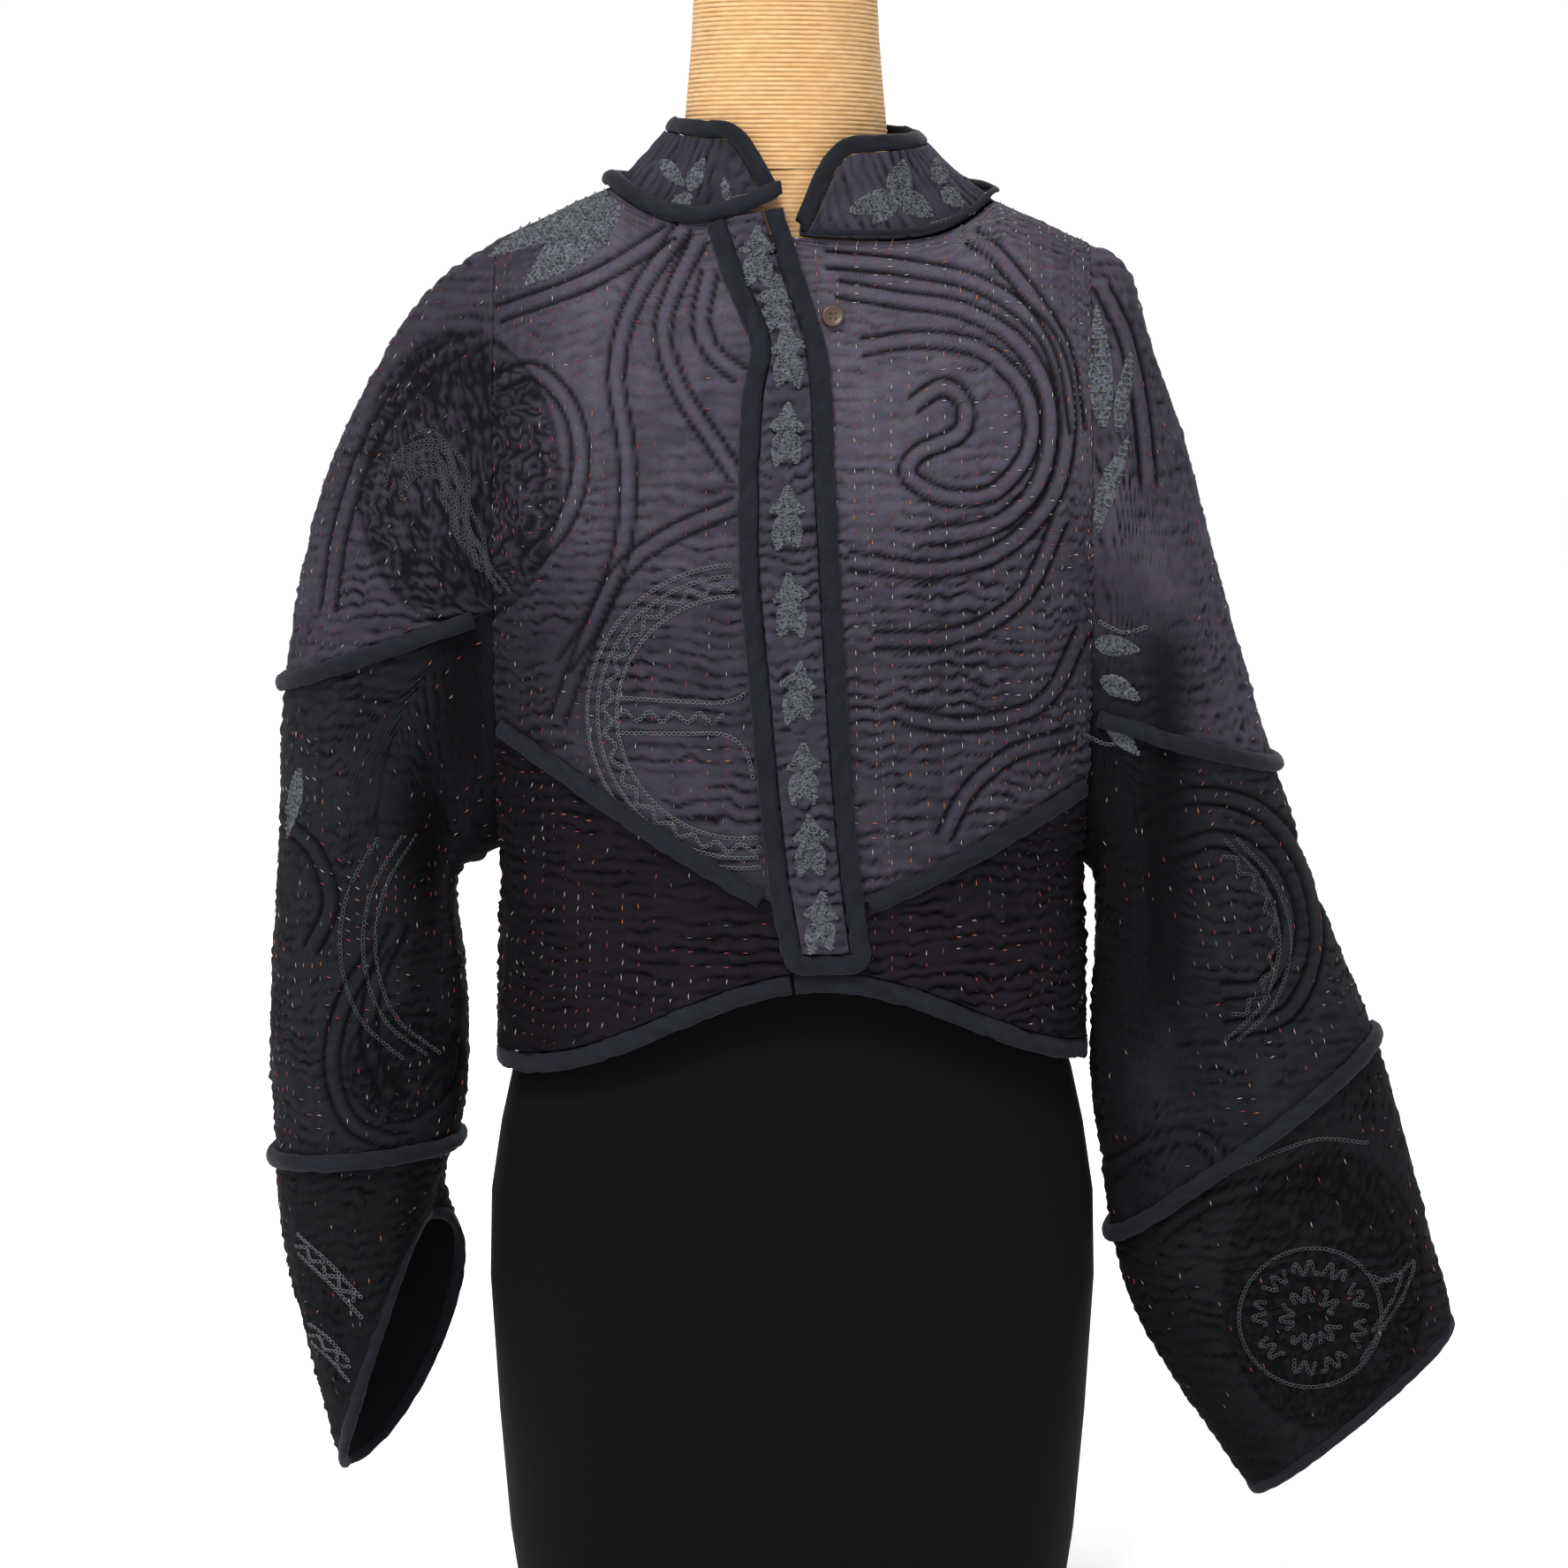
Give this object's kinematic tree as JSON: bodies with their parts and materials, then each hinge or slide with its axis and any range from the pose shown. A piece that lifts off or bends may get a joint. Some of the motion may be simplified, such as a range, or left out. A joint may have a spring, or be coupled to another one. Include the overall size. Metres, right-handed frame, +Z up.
{
  "type": "kantha jacket on dress form",
  "caption": "Short quilted jacket with standing collar, front band and wide sleeves, open hem and cuffs, resting on a limbless dress form with a flat base.",
  "frame": {"origin": "middle of the underside of the form's base, where it rests", "axes": "+Z up through the neck, -Y out of the jacket's front, +X to the wearer's left"},
  "size_m": [0.6907, 0.2523, 0.96],
  "materials": {
    "quilted_cotton_chest": "charcoal plum cotton, three layers, kantha quilted",
    "quilted_cotton_lower": "darker charcoal cotton, kantha quilted",
    "quilted_cotton_sleeve": "charcoal cotton, kantha quilted",
    "quilted_cotton_collar": "charcoal cotton, kantha quilted, with appliqued leaves",
    "quilted_cotton_band": "charcoal cotton band with stitched leaf pairs",
    "bias_binding": "plain slate cotton bias binding and covered cord",
    "horn_button": "brown horn-like button",
    "form_jersey": "plain black jersey cover",
    "form_straw_cord": "wound paper-straw cord",
    "form_wood": "pale beech"
  },
  "bodies": {
    "root": {"front_right_upper": "quilted_cotton_chest", "front_right_lower": "quilted_cotton_lower", "front_left_upper": "quilted_cotton_chest", "front_left_lower": "quilted_cotton_lower", "back_upper": "quilted_cotton_chest", "back_lower": "quilted_cotton_lower", "waist_cord_right": "bias_binding", "waist_cord_left": "bias_binding", "waist_cord_back": "bias_binding", "hem_binding_right": "bias_binding", "hem_binding_left": "bias_binding", "hem_binding_back": "bias_binding", "front_band": "quilted_cotton_band", "front_band_binding": "bias_binding", "button": "horn_button", "collar": "quilted_cotton_collar", "collar_binding": "bias_binding", "neck_cord": "bias_binding", "sleeve_right_upper": "quilted_cotton_sleeve", "sleeve_right_middle": "quilted_cotton_sleeve", "sleeve_right_cuff": "quilted_cotton_sleeve", "sleeve_right_cord_1": "bias_binding", "sleeve_right_cord_2": "bias_binding", "cuff_binding_right": "bias_binding", "sleeve_left_upper": "quilted_cotton_sleeve", "sleeve_left_middle": "quilted_cotton_sleeve", "sleeve_left_cuff": "quilted_cotton_sleeve", "sleeve_left_cord_1": "bias_binding", "sleeve_left_cord_2": "bias_binding", "cuff_binding_left": "bias_binding", "form_torso": "form_jersey", "form_neck": "form_straw_cord", "form_neck_cap": "form_wood", "form_base": "form_wood"}
  },
  "joints": []
}
